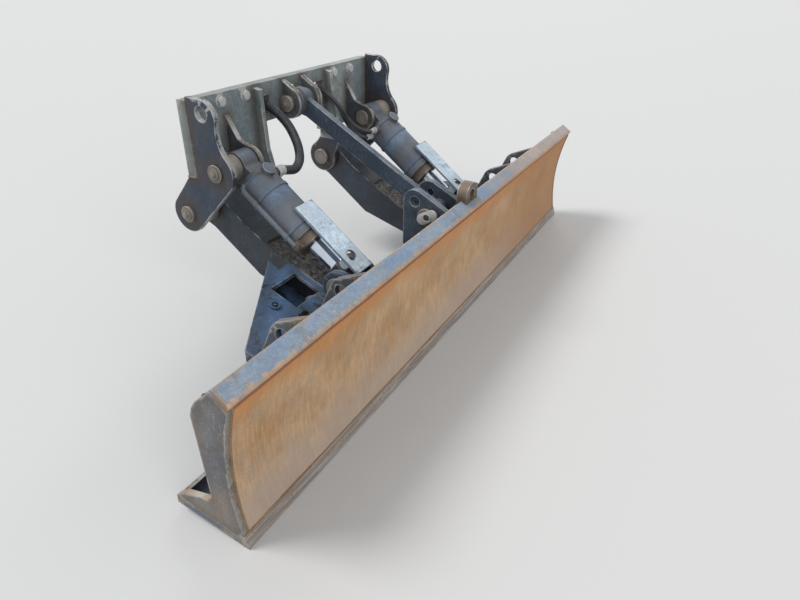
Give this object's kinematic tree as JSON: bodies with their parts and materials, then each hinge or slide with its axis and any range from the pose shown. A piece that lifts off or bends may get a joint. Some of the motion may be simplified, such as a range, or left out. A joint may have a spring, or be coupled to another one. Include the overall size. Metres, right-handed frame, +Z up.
{
  "type": "dozer blade unit of a wheeled excavator",
  "caption": "Dozer blade on two lower arms and a central upper link, raised by two hydraulic cylinders on a bolted chassis bracket.",
  "frame": {"origin": "centre of the bolt holes on the face that lies against the carrier's frame", "axes": "+X along the blade, -Y forward out of the blade's face, +Y towards the carrier, +Z up"},
  "size_m": [2.5, 0.953, 0.861],
  "materials": {
    "dark_paint": "dusty, worn to metal at the edges",
    "blue_paint": "dusty, scratched",
    "worn_paint": "scuffed and faded",
    "pale_paint": "scratched and dented",
    "rust": "scoured and rusted plate",
    "steel": "dull, with a film of dust",
    "chrome": "bright, with a dark dusty band",
    "rubber": "matt"
  },
  "bodies": {
    "carrier": {"bracket_plate": "dark_paint", "bracket_ribs": "dark_paint", "outer_ear_left": "dark_paint", "outer_ear_right": "dark_paint", "inner_ears": "dark_paint", "root_legs": "dark_paint", "centre_ears": "dark_paint", "link_root_pin": "steel", "base_pins": "steel", "root_pins": "steel", "hoses_left": "rubber", "hoses_right": "rubber"},
    "lower_arms": {"arm_left": "dark_paint", "arm_right": "dark_paint", "flare_left": "worn_paint", "flare_right": "worn_paint"},
    "upper_link": {"upper_link": "dark_paint"},
    "barrel_left": {"barrel_left": "blue_paint", "gland_left": "steel", "pipe_left": "blue_paint"},
    "barrel_right": {"barrel_right": "blue_paint", "gland_right": "steel", "pipe_right": "blue_paint"},
    "rod_left": {"rod_left": "chrome", "guard_left": "pale_paint", "rod_pin_left": "steel"},
    "rod_right": {"rod_right": "chrome", "guard_right": "pale_paint", "rod_pin_right": "steel"},
    "blade": {"face_plate": "rust", "back_plate": "dark_paint", "top_rail": "worn_paint", "cutting_edge": "steel", "foot_plate": "dark_paint", "end_plate_left": "dark_paint", "end_plate_right": "dark_paint", "pivot_lugs": "dark_paint", "link_lugs": "dark_paint", "lifting_eye": "rust", "pivot_pins": "steel", "link_front_pin": "steel"}
  },
  "joints": [
    {"name": "blade_lift", "type": "hinge", "parent": "carrier", "child": "lower_arms", "pos_m": [0, 0.035, -0.275], "axis": [-1, 0, 0], "range_deg": [-10, 25]},
    {"name": "blade_level", "type": "hinge", "parent": "lower_arms", "child": "blade", "pos_m": [0, -0.58, -0.605], "axis": [-1, 0, 0], "range_deg": [-26, 11]},
    {"name": "link_swing", "type": "hinge", "parent": "carrier", "child": "upper_link", "pos_m": [0, -0.069, 0.037], "axis": [-1, 0, 0], "range_deg": [-11, 26]},
    {"name": "cylinder_tilt_left", "type": "hinge", "parent": "carrier", "child": "barrel_left", "pos_m": [-0.418, -0.13, -0.096], "axis": [-1, 0, 0], "range_deg": [-12.5, 29], "deforming": ["hoses_left"]},
    {"name": "rod_slide_left", "type": "slide", "parent": "barrel_left", "child": "rod_left", "axis": [0, -0.8038, -0.5948], "range_m": [-0.102, 0.042]},
    {"name": "cylinder_tilt_right", "type": "hinge", "parent": "carrier", "child": "barrel_right", "pos_m": [0.418, -0.13, -0.096], "axis": [-1, 0, 0], "range_deg": [-12.5, 29], "deforming": ["hoses_right"]},
    {"name": "rod_slide_right", "type": "slide", "parent": "barrel_right", "child": "rod_right", "axis": [0, -0.8038, -0.5948], "range_m": [-0.102, 0.042]}
  ],
  "couplings": [
    {"joint": "blade_level", "follows": "blade_lift", "ratio": -1},
    {"joint": "link_swing", "follows": "blade_lift", "ratio": 1},
    {"joint": "cylinder_tilt_left", "follows": "blade_lift", "ratio": 1.1164},
    {"joint": "rod_slide_left", "follows": "blade_lift", "m_per_rad": -0.23029},
    {"joint": "cylinder_tilt_right", "follows": "blade_lift", "ratio": 1.1164},
    {"joint": "rod_slide_right", "follows": "blade_lift", "m_per_rad": -0.23029}
  ]
}
